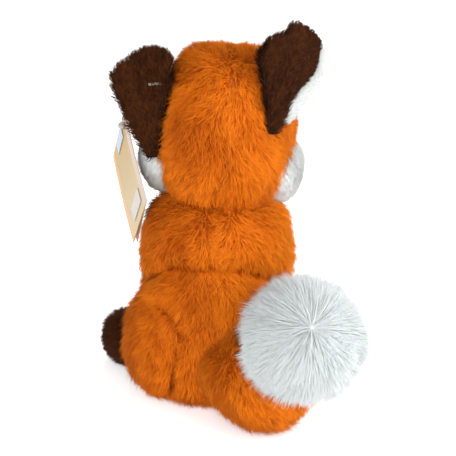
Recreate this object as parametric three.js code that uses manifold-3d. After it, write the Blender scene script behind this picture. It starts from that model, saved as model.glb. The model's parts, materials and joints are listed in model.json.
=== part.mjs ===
// A seated plush fox, in millimetres. +Z is up, the fox faces -Y, its left is +X,
// and the origin is the middle of the flat seat that it rests on.
// Each stuffed shape is a cloth skin, open at its seams, round a fibre filling.

import * as THREE from 'three';
import { mergeVertices } from 'three/addons/utils/BufferGeometryUtils.js';
import Module from 'manifold-3d';

const wasm = await Module();
wasm.setup();

// Cloth and clearances
const skinWall = 2.4;
const fillingGap = 0.3;
const seamGap = 0.3;
const swingGap = 0.45;
const seatCut = 0.5;
const overrun = 40;

// Facets round each shape and along it
const facets = {
  torso: { sides: 18, rings: 11 },
  head: { sides: 18, rings: 9 },
  limb: { sides: 12, rings: 8 },
  small: { sides: 12, rings: 6 },
  tiny: { sides: 10, rings: 3 },
};

// Torso: half shells left and right of a back seam, and a pale gusset from the chest to the seat
const torso = {
  width: 94,
  depth: 80,
  height: 131,
  rumpShift: 16.5,
  rumpShare: 0.6,
  outlineShares: [
    [0, 0], [0.64, 0.002], [0.83, 0.035], [0.98, 0.13], [1.04, 0.26], [1.03, 0.4], [0.99, 0.52],
    [0.98, 0.6], [0.99, 0.7], [0.97, 0.79], [0.9, 0.87], [0.7, 0.94], [0.36, 0.985], [0, 1],
  ],
};
const belly = { width: 52, depthShare: 1.6, heightShare: 1.115, middleShares: [0, -0.75, 0.35] };

// Head: tilted to its left and sunk a little into the shoulders
const head = {
  width: 82, depth: 86, height: 103, across: -5.5, forward: 6, sink: 20, roll: 7, fullness: 0.56,
  taper: -0.03,
};

// Cheeks and muzzle, which start inside the head at shares of its half sizes
const cheek = {
  width: 47, depth: 46, length: 43, rootShares: [0.2, -0.28, -0.41], lean: [0.98, 0.21, -0.06],
  side: [0, 0, 1], fullness: 0.75, taper: 0,
};
const muzzle = {
  width: 30, depth: 40, length: 37.5, rootShares: [0, -0.56, -0.15], lean: [0, -0.99, -0.13],
  side: [0, 0, 1], fullness: 0.86, taper: -0.42,
};
const eye = { width: 12, height: 12, bulge: 5.2, across: 36, up: 2, stem: 4, washer: 13, washerWall: 1.4 };
const nose = { width: 13, height: 9.5, bulge: 7, stem: 4, washer: 10, washerWall: 1.4 };

// Ears: brown leaf-shaped backs with white linings, rooted at shares of the head's half sizes.
// The right lining reaches out past the edge of its back.
const ear = {
  length: 64,
  width: 34,
  backWall: 8,
  liningWall: 6,
  liningShare: 0.84,
  liningStep: 3.4,
  cup: 4,
  fullness: 0.72,
  taper: 0.95,
  left: {
    rootShares: [1.02, 0.37, -0.273], lean: [0.1, -0.19, 1], side: [0.92, -0.38, 0], liningOut: 0,
  },
  right: {
    rootShares: [-0.63, 0.82, 0.1], lean: [-0.16, -0.16, 1], side: [0.88, 0.47, 0], liningOut: 8,
  },
};

// Limbs and tail, rooted at shares of the torso's half width and half depth and of a height.
// The limbs are given for the fox's left, and the right ones are mirrored.
const haunch = {
  width: 60, depth: 80, length: 77, rootShares: [0.28, 1.06, 0.54], lean: [0.38, -0.9, -0.22],
  side: [0.86, 0.5, 0.45], fullness: 0.8, taper: -0.22,
};
const foot = {
  width: 34, depth: 36, length: 42.5, rootShares: [0.9, -0.05, 0.485], lean: [0.68, -0.73, 0.02],
  side: [0.73, 0.68, 0], fullness: 0.72, taper: 0.1,
};
const arm = {
  width: 24, depth: 28, length: 71, rootShares: [0.64, -0.2, 0.84], lean: [0.11, -0.5, -0.86],
  side: [1, 0, 0], fullness: 0.66, taper: 0.1, pawShare: 0.68,
};
const tail = {
  width: 58, depth: 54, length: 67, rootShares: [-0.02, 0.84, 0.56], lean: [-0.68, 0.73, -0.046],
  side: [0.87, 0.5, 0], fullness: 0.72, taper: 0.1,
};

// White ball at the end of the tail, stepped off it by shares of its diameter
const ball = { diameter: 68, stepShares: [-0.04, -0.05, 0.53] };

// Folded card tag that hangs by a corner from a plastic fastener through the left ear
const tag = {
  long: 65,
  short: 55,
  wall: 0.6,
  outward: 10.4,
  forward: 23.6,
  drop: 41.2,
  heading: 19.5,
  slant: 47.3,
  spread: 2.5,
  holeInset: 7,
  holeAcross: 4.4,
  paperWall: 0.3,
  label: { long: 9.5, short: 26, inset: 10.5, down: 50 },
  sticker: { long: 9, short: 20.5, inset: 15.3, down: 1.2 },
};
const fastener = {
  thick: 1.1, bar: 9, barThick: 1.6, knobLip: 0.3, straight: 9, standOff: 2.3,
  acrossShare: -0.25, upShare: 0.69,
};

// Where a joint lies along the part that it turns
const pivotShare = 0.14;
const sweepSteps = 3;

const colours = {
  orange: 0xd9701a,
  cream: 0xf1efe8,
  brown: 0x3c1d10,
  filling: 0xf4f3ee,
  black: 0x0d0b0a,
  washer: 0xe6e4dc,
  card: 0xd9b06a,
  paper: 0xeef1f4,
  plastic: 0xe9ecee,
};

function finish(colour, roughness) {
  return new THREE.MeshStandardMaterial({ color: colour, roughness, metalness: 0 });
}

const finishes = {
  orangePile: finish(colours.orange, 0.95),
  whitePile: finish(colours.cream, 0.95),
  brownPile: finish(colours.brown, 0.95),
  filling: finish(colours.filling, 1),
  gloss: finish(colours.black, 0.12),
  washer: finish(colours.washer, 0.5),
  card: finish(colours.card, 0.45),
  paper: finish(colours.paper, 0.6),
  plastic: finish(colours.plastic, 0.3),
};

const radians = THREE.MathUtils.degToRad;
const vector = (values) => new THREE.Vector3(...values);
const mirrored = ([x, y, z]) => [-x, y, z];

/** The point some way from another one in a direction. */
const beyond = (from, lean, distance) => vector(lean).setLength(distance).add(vector(from)).toArray();

/** A point at shares of the torso's half width and half depth, and of a height. */
const atTorso = ([x, y, z], height) => [(x * torso.width) / 2, (y * torso.depth) / 2, z * height];

// The head's frame, at its middle
const headMiddle = [head.across, -head.forward, torso.height + head.height / 2 - head.sink];
const headMatrix = new THREE.Matrix4().makeRotationY(radians(-head.roll)).setPosition(vector(headMiddle));
const inHead = (point) => vector(point).applyMatrix4(headMatrix).toArray();
const leanInHead = (lean) => vector(lean).transformDirection(headMatrix).toArray();
const atHead = ([x, y, z]) => [(x * head.width) / 2, (y * head.depth) / 2, (z * head.height) / 2];

/** The left or right copy of a limb, with its root in place. */
function limb(part, sign, height = part.depth) {
  const flip = sign > 0 ? (values) => values : mirrored;
  const { rootShares, lean, side, ...sizes } = part;
  return { ...sizes, from: flip(atTorso(rootShares, height)), lean: flip(lean), side: flip(side) };
}

/** An ear, with its root in place. */
function earPart({ rootShares, lean, side, liningOut }) {
  const from = vector(headMiddle).add(vector(atHead(rootShares))).toArray();
  return { from, lean, side, liningOut, length: ear.length, width: ear.width, depth: ear.backWall };
}

const parts = {
  haunches: { left: limb(haunch, 1), right: limb(haunch, -1) },
  feet: { left: limb(foot, 1), right: limb(foot, -1) },
  arms: { left: limb(arm, 1, torso.height), right: limb(arm, -1, torso.height) },
  tail: limb(tail, 1),
  ears: { left: earPart(ear.left), right: earPart(ear.right) },
};

/** A joint along a part, near its root. */
function hinge({ from, lean, length }, axis, low, high) {
  return { at: beyond(from, lean, length * pivotShare), axis, low, high };
}

// Joint axes, with limits in degrees; every rest pose is 0
const joints = {
  head: { at: [0, 0, torso.height - head.sink], axis: [0, 0, 1], low: -6, high: 12 },
  earLeft: hinge(parts.ears.left, [1, 0, 0], -8, 10),
  earRight: hinge(parts.ears.right, [1, 0, 0], -10, 12),
  armLeft: hinge(parts.arms.left, [-1, 0, 0], 0, 30),
  armRight: hinge(parts.arms.right, [-1, 0, 0], 0, 30),
  legLeft: hinge(parts.haunches.left, [0, 0, 1], -4, 6),
  legRight: hinge(parts.haunches.right, [0, 0, 1], -6, 4),
  tail: hinge(parts.tail, [0, 0, 1], -10, 8),
};

/** The closed solid inside a geometry's surface. */
function solid(geometry) {
  const bare = geometry.index ? geometry.toNonIndexed() : geometry.clone();
  bare.deleteAttribute('normal');
  bare.deleteAttribute('uv');
  const merged = mergeVertices(bare);
  const index = merged.index.array;
  const corners = [];
  for (let i = 0; i < index.length; i += 3) {
    const [a, b, c] = [index[i], index[i + 1], index[i + 2]];
    if (a !== b && b !== c && c !== a) corners.push(a, b, c);
  }
  return new wasm.Manifold(new wasm.Mesh({
    numProp: 3,
    vertProperties: new Float32Array(merged.attributes.position.array),
    triVerts: new Uint32Array(corners),
  }));
}

/** The geometry of a solid. */
function surface(body) {
  const { vertProperties, triVerts } = body.getMesh();
  const geometry = new THREE.BufferGeometry();
  geometry.setAttribute('position', new THREE.BufferAttribute(new Float32Array(vertProperties), 3));
  geometry.setIndex(new THREE.BufferAttribute(new Uint32Array(triVerts), 1));
  return geometry;
}

/** The matrix that lays +Z from a point along a direction, with +X as near to side as it goes. */
function along(from, lean, side) {
  const z = vector(lean).normalize();
  const x = vector(side).addScaledVector(z, -vector(side).dot(z)).normalize();
  const y = new THREE.Vector3().crossVectors(z, x);
  return new THREE.Matrix4().makeBasis(x, y, z).setPosition(vector(from));
}

/** A turn about an axis through a point. */
function turnAbout({ at, axis }, degrees) {
  const turn = new THREE.Matrix4().makeRotationAxis(vector(axis).normalize(), radians(degrees));
  const there = new THREE.Matrix4().makeTranslation(...at);
  const back = there.clone().invert();
  return there.multiply(turn).multiply(back);
}

/** A stuffed shape that swells and tapers along its length, drawn larger or smaller by grow. */
function egg(part, grow = 0) {
  const { from, lean, side, width, depth, fullness, taper, cup = 0, facet = facets.limb } = part;
  const length = part.length + 2 * grow;
  const reach = width / 2 + grow;
  const points = [];
  for (let i = 0; i <= facet.rings; i += 1) {
    const angle = (Math.PI * i) / facet.rings;
    const heightShare = (1 - Math.cos(angle)) / 2;
    const round = i % facet.rings === 0 ? 0 : Math.sin(angle) ** fullness;
    const radiusShare = round * (1 + taper * (heightShare - 1 / 2));
    points.push(new THREE.Vector2(reach * radiusShare, length * heightShare - grow));
  }
  const geometry = new THREE.LatheGeometry(points, facet.sides);
  geometry.rotateX(Math.PI / 2);
  geometry.scale(1, (depth / 2 + grow) / reach, 1);
  const places = geometry.attributes.position;
  for (let i = 0; i < places.count; i += 1) {
    const share = places.getX(i) / reach;
    places.setY(i, places.getY(i) + cup * share * share);
  }
  return geometry.applyMatrix4(along(from, lean, side));
}

/** The torso: round sections from the seat to the neck, with the rump set back. */
function torsoShape(grow = 0) {
  const reach = torso.width / 2 + grow;
  const height = torso.height + seatCut + 2 * grow;
  const outline = torso.outlineShares.map(([out, up]) => new THREE.Vector3(out * reach, up * height, 0));
  const curve = new THREE.CatmullRomCurve3(outline);
  const points = curve.getPoints(facets.torso.rings).map(({ x, y }) => new THREE.Vector2(Math.max(x, 0), y));
  points[0].x = 0;
  points[facets.torso.rings].x = 0;
  const geometry = new THREE.LatheGeometry(points, facets.torso.sides);
  geometry.rotateX(Math.PI / 2);
  geometry.scale(1, (torso.depth / 2 + grow) / reach, 1);
  const places = geometry.attributes.position;
  for (let i = 0; i < places.count; i += 1) {
    const z = places.getZ(i) - seatCut - grow;
    const low = THREE.MathUtils.clamp(1 - z / (torso.rumpShare * torso.height), 0, 1);
    places.setXYZ(i, places.getX(i), places.getY(i) + torso.rumpShift * low * low * (3 - 2 * low), z);
  }
  return geometry;
}

/** A block between two heights, wide enough to cut anything off. */
function slabBelow(z) {
  const size = torso.height + 2 * overrun;
  return solid(new THREE.BoxGeometry(2 * size, 2 * size, size).translate(0, 0, z - size / 2));
}

/** An ellipsoid with the given whole sizes. */
function ellipsoid([width, depth, height], middle, { sides, rings }, grow = 0) {
  const unit = new THREE.SphereGeometry(1, sides, rings);
  unit.scale(width / 2 + grow, depth / 2 + grow, height / 2 + grow);
  return unit.translate(...middle);
}

const floor = slabBelow(0);
const standing = (shape) => solid(shape).subtract(floor);

/** The turns of a joint at even steps over its range; a fixed joint has just one. */
function turns(joint, sense = 1) {
  if (!joint) return [new THREE.Matrix4()];
  const share = (step) => step / sweepSteps;
  const steps = Array.from({ length: sweepSteps + 1 }, (_, step) => share(step));
  return steps.map((done) => turnAbout(joint, sense * THREE.MathUtils.lerp(joint.low, joint.high, done)));
}

/** A body less another shape, wherever the body's own joint and the other's take them. */
function clearOf(body, otherShape, joint, { gap = swingGap, otherJoint = null } = {}) {
  let cut = body;
  for (const back of turns(joint, -1)) {
    for (const there of turns(otherJoint)) {
      cut = cut.subtract(solid(otherShape(gap).applyMatrix4(there).applyMatrix4(back)));
    }
  }
  return cut;
}

/** The skin, the room in it and the filling of one shape. */
function stuffed(shape) {
  const outer = standing(shape(0));
  const room = solid(shape(-skinWall)).subtract(slabBelow(skinWall));
  const filling = solid(shape(-skinWall - fillingGap)).subtract(slabBelow(skinWall + fillingGap));
  return { room, filling, skin: outer.subtract(room) };
}

const fox = new THREE.Group();
fox.name = 'plush_fox';

function add(name, body, material) {
  const mesh = new THREE.Mesh(surface(body), material);
  mesh.name = name;
  fox.add(mesh);
  return mesh;
}

/** Everything on one side of the middle plane: 1 for the fox's left, -1 for its right. */
function sideOf(sign, matrix = new THREE.Matrix4()) {
  const size = torso.height + 2 * overrun;
  const half = new THREE.BoxGeometry(size, 2 * size, 2 * size);
  return solid(half.translate((sign * (size + seamGap)) / 2, 0, 0).applyMatrix4(matrix));
}

// Shapes of the larger parts
function headShape(grow = 0) {
  return egg({
    ...head, length: head.height, from: inHead([0, 0, -head.height / 2]), lean: leanInHead([0, 0, 1]),
    side: [1, 0, 0], facet: facets.head,
  }, grow);
}

const haunchShape = (side) => (grow = 0) => egg(parts.haunches[side], grow);
const footShape = (side) => (grow = 0) => egg({ ...parts.feet[side], facet: facets.small }, grow);
const armShape = (side) => (grow = 0) => egg(parts.arms[side], grow);
const tailShape = (grow = 0) => egg(parts.tail, grow);

/** The ball, above the end of the tail. */
function ballShape(grow = 0) {
  const { from, lean, length } = parts.tail;
  const step = vector(ball.stepShares).multiplyScalar(ball.diameter);
  const middle = vector(beyond(from, lean, length)).add(step).toArray();
  return ellipsoid([ball.diameter, ball.diameter, ball.diameter], middle, facets.limb, grow);
}

function makeTorso() {
  const { skin, filling } = stuffed(torsoShape);
  const size = [belly.width, torso.depth * belly.depthShare, torso.height * belly.heightShare];
  const middle = atTorso(belly.middleShares, torso.height);
  add('torso_filling', filling, finishes.filling);
  add('belly_gusset', skin.intersect(solid(ellipsoid(size, middle, facets.torso))), finishes.whitePile);
  const back = skin.subtract(solid(ellipsoid(size, middle, facets.torso, seamGap)));
  add('torso_panel_left', back.intersect(sideOf(1)), finishes.orangePile);
  add('torso_panel_right', back.intersect(sideOf(-1)), finishes.orangePile);
}

/** A cheek or the muzzle: a puffed cover on the head whose filling runs into the head's. */
function puffShape(part, sign) {
  const flip = sign > 0 ? (values) => values : mirrored;
  const from = inHead(flip(atHead(part.rootShares)));
  return (grow = 0) => egg({ ...part, from, lean: leanInHead(flip(part.lean)), facet: facets.small }, grow);
}

/** A domed plastic piece with a stem, its dome's foot at the origin and its stem down -Z. */
function studded({ width, height, bulge }, stem, stemLength) {
  const points = [new THREE.Vector2(0, -stemLength), new THREE.Vector2(stem / 2, -stemLength)];
  points.push(new THREE.Vector2(stem / 2, 0));
  for (let i = 0; i <= facets.tiny.rings; i += 1) {
    const angle = (Math.PI / 2) * (i / facets.tiny.rings);
    const x = i === facets.tiny.rings ? 0 : (width / 2) * Math.cos(angle);
    points.push(new THREE.Vector2(x, bulge * Math.sin(angle)));
  }
  const geometry = new THREE.LatheGeometry(points, facets.small.sides).rotateX(Math.PI / 2);
  return geometry.scale(1, height / width, 1);
}

/** A flat ring round a stem, from z down by its wall. */
function ring(across, bore, wall, z) {
  const inner = bore / 2;
  const outer = across / 2;
  const outline = [[inner, z - wall], [outer, z - wall], [outer, z], [inner, z], [inner, z - wall]];
  const points = outline.map(([x, y]) => new THREE.Vector2(x, y));
  return new THREE.LatheGeometry(points, facets.small.sides).rotateX(Math.PI / 2);
}

/** The point of the head's surface in front of x and z of its own frame, and the way out there. */
function onHead(x, z) {
  const [a, b, c] = [head.width / 2, head.depth / 2, head.height / 2];
  const y = -b * Math.sqrt(1 - (x / a) ** 2 - (z / c) ** 2);
  const out = new THREE.Vector3(x / a ** 2, y / b ** 2, z / c ** 2).normalize();
  return { point: [x, y, z], out: out.toArray() };
}

function makeHead() {
  const { skin, filling } = stuffed(headShape);
  const puffs = [
    ['cheek_left', puffShape(cheek, 1)],
    ['cheek_right', puffShape(cheek, -1)],
    ['muzzle', puffShape(muzzle, 1)],
  ];
  const neck = (body, extra = 0) => clearOf(body, torsoShape, joints.head, { gap: swingGap + extra });
  let cover = skin;
  let fill = filling;
  const covers = [];
  for (const [name, shape] of puffs) {
    const puff = stuffed(shape);
    covers.push([name, puff.skin.subtract(solid(headShape(seamGap)))]);
    cover = cover.subtract(puff.room);
    fill = fill.add(puff.filling);
  }
  // Domed eyes and a nose, each with a stem through the cloth and a washer behind it
  const studs = [];
  for (const [name, sign] of [['eye_left', 1], ['eye_right', -1]]) {
    const { point, out } = onHead((sign * eye.across) / 2, eye.up);
    const face = inHead(beyond(point, out, seamGap));
    studs.push({ name, place: along(face, leanInHead(out), [1, 0, 0]), ...eye });
  }
  const snout = inHead(beyond(atHead(muzzle.rootShares), muzzle.lean, muzzle.length + seamGap));
  studs.push({ name: 'nose', place: along(snout, leanInHead(muzzle.lean), [1, 0, 0]), ...nose });
  for (const stud of studs) {
    const stemLength = skinWall + fillingGap + 2 * stud.washerWall;
    const body = studded(stud, stud.stem, stemLength).applyMatrix4(stud.place);
    const bore = studded(stud, stud.stem + 2 * fillingGap, stemLength + fillingGap);
    const hole = solid(bore.applyMatrix4(stud.place));
    const flat = ring(stud.washer, stud.stem + fillingGap, stud.washerWall, -skinWall - 2 * fillingGap);
    const room = ring(stud.washer + 2 * fillingGap, stud.stem - fillingGap, stud.washerWall + 2 * fillingGap,
      -skinWall - fillingGap);
    const washer = solid(flat.applyMatrix4(stud.place));
    const washerRoom = solid(room.applyMatrix4(stud.place));
    cover = cover.subtract(hole).subtract(washerRoom);
    fill = fill.subtract(hole).subtract(washerRoom);
    for (const entry of covers) entry[1] = entry[1].subtract(hole).subtract(washerRoom);
    add(stud.name, solid(body), finishes.gloss);
    add(`${stud.name}_washer`, washer, finishes.washer);
  }
  const opened = neck(cover);
  add('head_panel_left', opened.intersect(sideOf(1, headMatrix)), finishes.orangePile);
  add('head_panel_right', opened.intersect(sideOf(-1, headMatrix)), finishes.orangePile);
  for (const [name, body] of covers) add(name, neck(body), finishes.whitePile);
  add('head_filling', neck(fill, fillingGap), finishes.filling);
}

/** An ear: its frame has +Z up the ear and +Y out of its back. */
function makeEar(side, joint, pierced) {
  const { fullness, taper, cup } = ear;
  const part = { ...parts.ears[side], fullness, taper, cup, facet: facets.small };
  const backShape = (grow = 0) => egg(part, grow);
  const inset = (ear.length * (1 - ear.liningShare)) / 2;
  const step = new THREE.Vector3(0, -ear.liningStep, 0).addScaledVector(vector(part.side), -part.liningOut);
  const from = vector(beyond(part.from, part.lean, inset)).add(step).toArray();
  const lining = egg({
    ...part, from, length: ear.length * ear.liningShare, width: ear.width * ear.liningShare,
    depth: ear.liningWall,
  });
  const shaped = (body) => {
    const cut = clearOf(body, headShape, joint);
    return pierced ? cut.subtract(solid(strapShape(seamGap))) : cut;
  };
  add(`ear_${side}_back`, shaped(solid(backShape())), finishes.brownPile);
  add(`ear_${side}_lining`, shaped(solid(lining).subtract(solid(backShape(seamGap)))), finishes.whitePile);
}

function makeLeg(side, joint) {
  const upper = stuffed(haunchShape(side));
  const lower = stuffed(footShape(side));
  const clear = (body, extra = 0) => clearOf(body, torsoShape, joint, { gap: swingGap + extra });
  add(`haunch_${side}`, clear(upper.skin.subtract(lower.room)), finishes.orangePile);
  add(`foot_${side}`, lower.skin.subtract(standing(haunchShape(side)(seamGap))), finishes.brownPile);
  add(`leg_filling_${side}`, clear(upper.filling.add(lower.filling), fillingGap), finishes.filling);
}

function makeArm(side, joint, legJoint) {
  const { from, lean, length } = parts.arms[side];
  const { skin, filling } = stuffed(armShape(side));
  const clear = (body, extra = 0) => {
    const gap = swingGap + extra;
    const besideTorso = clearOf(body, torsoShape, joint, { gap });
    return clearOf(besideTorso, haunchShape(side), null, { gap, otherJoint: legJoint });
  };
  const size = torso.height;
  const cuff = beyond(from, lean, length * arm.pawShare);
  const block = new THREE.BoxGeometry(size, size, size).translate(0, 0, size / 2);
  const place = along(cuff, lean, [1, 0, 0]);
  const handSide = (step) => solid(block.clone().translate(0, 0, step).applyMatrix4(place));
  add(`sleeve_${side}`, clear(skin).subtract(handSide(-seamGap / 2)), finishes.orangePile);
  add(`paw_${side}`, clear(skin).intersect(handSide(seamGap / 2)), finishes.brownPile);
  add(`arm_filling_${side}`, clear(filling, fillingGap), finishes.filling);
}

function makeTail(joint) {
  const root = stuffed(tailShape);
  const tip = stuffed(ballShape);
  const clear = (body, extra = 0) => {
    const gap = swingGap + extra;
    let cut = clearOf(body, torsoShape, joint, { gap });
    cut = clearOf(cut, haunchShape('left'), joint, { gap, otherJoint: joints.legLeft });
    return clearOf(cut, haunchShape('right'), joint, { gap, otherJoint: joints.legRight });
  };
  add('tail_root', clear(root.skin.subtract(standing(ballShape(seamGap)))), finishes.orangePile);
  add('tail_ball', clear(tip.skin.subtract(root.room)), finishes.whitePile);
  add('tail_filling', clear(root.filling.add(tip.filling), fillingGap), finishes.filling);
}

/** A flat plate in the tag's plane, inset and down from its corner, with its foot at a height. */
function plate({ short, long, inset = 0, down = 0 }, wall, foot) {
  const outline = new THREE.Shape();
  outline.moveTo(inset, down);
  outline.lineTo(inset + short, down);
  outline.lineTo(inset + short, down + long);
  outline.lineTo(inset, down + long);
  return new THREE.ExtrudeGeometry(outline, { depth: wall, bevelEnabled: false }).translate(0, 0, foot);
}

/** The tag's frame: +X down its short side, +Y down its long side, +Z out of its outer face. */
function tagMatrix() {
  const out = new THREE.Vector3(1, 0, 0).applyAxisAngle(new THREE.Vector3(0, 0, 1), radians(tag.heading));
  const down = new THREE.Vector3(0, 0, -1).applyAxisAngle(out, radians(tag.slant));
  const across = new THREE.Vector3().crossVectors(down, out);
  const { from, lean, length } = parts.ears.left;
  const [, y, z] = beyond(from, lean, length);
  const [cheekReach] = inHead(beyond(atHead(cheek.rootShares), cheek.lean, cheek.length));
  const reach = Math.max(torso.width / 2, cheekReach);
  const corner = vector([reach + tag.outward, y - tag.forward, z - tag.drop]);
  return new THREE.Matrix4().makeBasis(across, down, out).setPosition(corner);
}

/** The point at a height over the hole that the tag hangs by. */
function overHole(height) {
  return new THREE.Vector3(tag.holeInset, tag.holeInset, height).applyMatrix4(tagMatrix());
}

/** The fastener's knob, a little wider than the tag's hole and seated on its outer rim. */
function knobPlace() {
  const hole = tag.holeAcross / 2;
  const knob = hole + fastener.knobLip;
  return { knob, middle: overHole(tag.wall / 2 + Math.sqrt((knob + seamGap) ** 2 - hole ** 2)) };
}

function makeTag() {
  const place = tagMatrix();
  const outer = plate({ short: tag.short, long: tag.long }, tag.wall, -tag.wall / 2);
  const inner = outer.clone().rotateY(radians(tag.spread));
  const bore = tag.holeAcross / 2;
  const punch = new THREE.CylinderGeometry(bore, bore, tag.short, facets.small.sides);
  punch.rotateX(Math.PI / 2).translate(tag.holeInset, tag.holeInset, 0);
  const card = solid(outer).add(solid(inner)).subtract(solid(punch));
  add('tag_card', solid(surface(card).applyMatrix4(place)), finishes.card);
  for (const [name, paper] of [['tag_label', tag.label], ['tag_sticker', tag.sticker]]) {
    const sheet = plate(paper, tag.paperWall, tag.wall / 2 + seamGap);
    add(name, solid(sheet.applyMatrix4(place)), finishes.paper);
  }
}

/** The place on the left ear that the fastener goes through, and the way out of the ear's back there. */
function fastenerPlace() {
  const { from, lean, side, length, width } = parts.ears.left;
  const [x, z] = [width * fastener.acrossShare, length * fastener.upShare];
  return along(from, lean, side).multiply(new THREE.Matrix4().makeTranslation(x, 0, z));
}

/** The route of the fastener's strap: through the ear, down in front of it and through the tag's hole. */
function strapCurve() {
  const place = fastenerPlace();
  const back = new THREE.Vector3(0, ear.backWall / 2 + fastener.standOff, 0).applyMatrix4(place);
  const front = new THREE.Vector3(0, -fastener.straight, 0).applyMatrix4(place);
  const inside = overHole(-fastener.straight);
  const out = overHole(0).sub(inside).normalize();
  const sag = front.clone().lerp(inside, 1 / 2).addScaledVector(out, -fastener.standOff);
  const path = new THREE.CurvePath();
  path.add(new THREE.LineCurve3(back, front));
  path.add(new THREE.CatmullRomCurve3([front, sag, inside]));
  path.add(new THREE.LineCurve3(inside, knobPlace().middle));
  return path;
}

function strapShape(grow = 0) {
  const ring = new THREE.Shape();
  ring.absarc(0, 0, fastener.thick / 2 + grow, 0, 2 * Math.PI);
  const curve = new THREE.CatmullRomCurve3(strapCurve().getSpacedPoints(facets.small.sides));
  return new THREE.ExtrudeGeometry(ring, {
    extrudePath: curve, steps: 2 * facets.small.sides, curveSegments: facets.tiny.rings, bevelEnabled: false,
  });
}

function makeFastener() {
  const bar = new THREE.CylinderGeometry(fastener.barThick / 2, fastener.barThick / 2, fastener.bar,
    facets.tiny.sides).rotateZ(Math.PI / 2).translate(0, ear.backWall / 2 + fastener.standOff, 0);
  const { knob, middle } = knobPlace();
  const bead = ellipsoid([2 * knob, 2 * knob, 2 * knob], middle.toArray(), facets.small);
  const strap = solid(strapShape()).add(solid(bar.applyMatrix4(fastenerPlace()))).add(solid(bead));
  add('tag_fastener', strap, finishes.plastic);
}

makeTorso();
makeHead();
makeEar('left', joints.earLeft, true);
makeEar('right', joints.earRight, false);
makeLeg('left', joints.legLeft);
makeLeg('right', joints.legRight);
makeArm('left', joints.armLeft, joints.legLeft);
makeArm('right', joints.armRight, joints.legRight);
makeTail(joints.tail);
makeTag();
makeFastener();

export default fox;
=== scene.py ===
import json
import math

import bpy
import numpy as np
from mathutils import Matrix, Vector, kdtree


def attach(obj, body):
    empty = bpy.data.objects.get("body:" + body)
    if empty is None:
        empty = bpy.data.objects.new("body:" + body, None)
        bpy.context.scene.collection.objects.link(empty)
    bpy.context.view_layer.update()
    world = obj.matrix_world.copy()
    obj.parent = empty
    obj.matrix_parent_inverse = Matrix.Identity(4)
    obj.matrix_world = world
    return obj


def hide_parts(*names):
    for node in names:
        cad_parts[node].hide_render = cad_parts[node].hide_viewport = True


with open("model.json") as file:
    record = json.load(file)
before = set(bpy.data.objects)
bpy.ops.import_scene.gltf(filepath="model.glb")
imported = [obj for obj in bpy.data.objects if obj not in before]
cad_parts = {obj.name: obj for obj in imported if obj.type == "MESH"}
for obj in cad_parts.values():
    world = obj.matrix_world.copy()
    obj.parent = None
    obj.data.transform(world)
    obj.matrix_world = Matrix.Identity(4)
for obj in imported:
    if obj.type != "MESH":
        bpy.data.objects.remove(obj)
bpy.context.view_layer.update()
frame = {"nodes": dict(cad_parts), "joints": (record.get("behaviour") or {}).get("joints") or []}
MM = 0.001
rng = np.random.default_rng(7)
# The share of the strands that are grown
SHARE = 1.0

# Sizes, as in the source
SEAT = 0.8
SEAM = 0.3
SWING = 0.45
TORSO = dict(width=94, depth=80, height=131, cut=0.5, shift=16.5, shift_share=0.6)
BELLY = dict(width=52, depth_share=1.6, height_share=1.115, back=12)
OUTLINE = [(0, 0), (0.64, 0.002), (0.83, 0.035), (0.98, 0.13), (1.04, 0.26), (1.03, 0.4),
           (0.99, 0.52), (0.98, 0.6), (0.99, 0.7), (0.97, 0.79), (0.9, 0.87), (0.7, 0.94),
           (0.36, 0.985), (0, 1)]
HEAD_MIDDLE = np.array((-5.5, -6, 162.5))
HEAD_SIZE = np.array((82, 86, 103))
ROLL = math.radians(7)
HALF = HEAD_SIZE / 2
HEAD_TURN = np.array(Matrix.Rotation(-ROLL, 3, "Y"))


def in_head(p):
    return HEAD_TURN @ np.array(p, float) + HEAD_MIDDLE


def flip(p, sign):
    return (sign * p[0], p[1], p[2])


def at_torso(shares, height):
    x, y, z = shares
    return np.array((x * TORSO["width"] / 2, y * TORSO["depth"] / 2, z * height))


def unit(v):
    v = np.asarray(v, float)
    return v / np.maximum(np.linalg.norm(v, axis=-1, keepdims=True), 1e-12)


def axes(lean, side):
    """Columns: side, its normal, and lean."""
    z = unit(lean)
    x = np.asarray(side, float)
    x = unit(x - x.dot(z) * z)
    return np.column_stack((x, np.cross(z, x), z))


class Egg:
    """A stuffed shape that swells and tapers along its length."""

    def __init__(self, root, lean, side, width, depth, length, fullness, taper, cup=0.0):
        self.frame = axes(lean, side)
        self.root = np.asarray(root, float)
        self.width, self.depth, self.length = width, depth, length
        self.fullness, self.taper, self.cup = fullness, taper, cup

    def place(self, local):
        return local @ self.frame.T + self.root

    def local(self, p):
        return (p - self.root) @ self.frame

    def mesh(self, grow, sides, rings):
        angle = np.linspace(0, np.pi, rings + 1)
        up = (1 - np.cos(angle)) / 2
        thick = np.where((angle < 1e-6) | (angle > np.pi - 1e-6), 0,
                         np.abs(np.sin(angle)) ** self.fullness)
        out = (self.width / 2 + grow) * thick * (1 + self.taper * (up - 0.5))
        z = (self.length + 2 * grow) * up - grow
        p, faces = lathe(out, z, sides)
        p[:, 1] *= (self.depth / 2 + grow) / (self.width / 2 + grow)
        p[:, 1] += self.cup * (p[:, 0] / (self.width / 2 + grow)) ** 2
        return self.place(p), faces

    def inside(self, p, grow):
        q = self.local(p)
        up = (q[:, 2] + grow) / (self.length + 2 * grow)
        ok = (up > 0) & (up < 1)
        u = np.clip(up, 1e-6, 1 - 1e-6)
        thick = (2 * np.sqrt(u * (1 - u))) ** self.fullness * (1 + self.taper * (u - 0.5))
        reach = self.width / 2 + grow
        y = q[:, 1] - self.cup * (q[:, 0] / reach) ** 2
        d = np.hypot(q[:, 0] / reach, y / (self.depth / 2 + grow))
        return ok & (d < thick)


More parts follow.
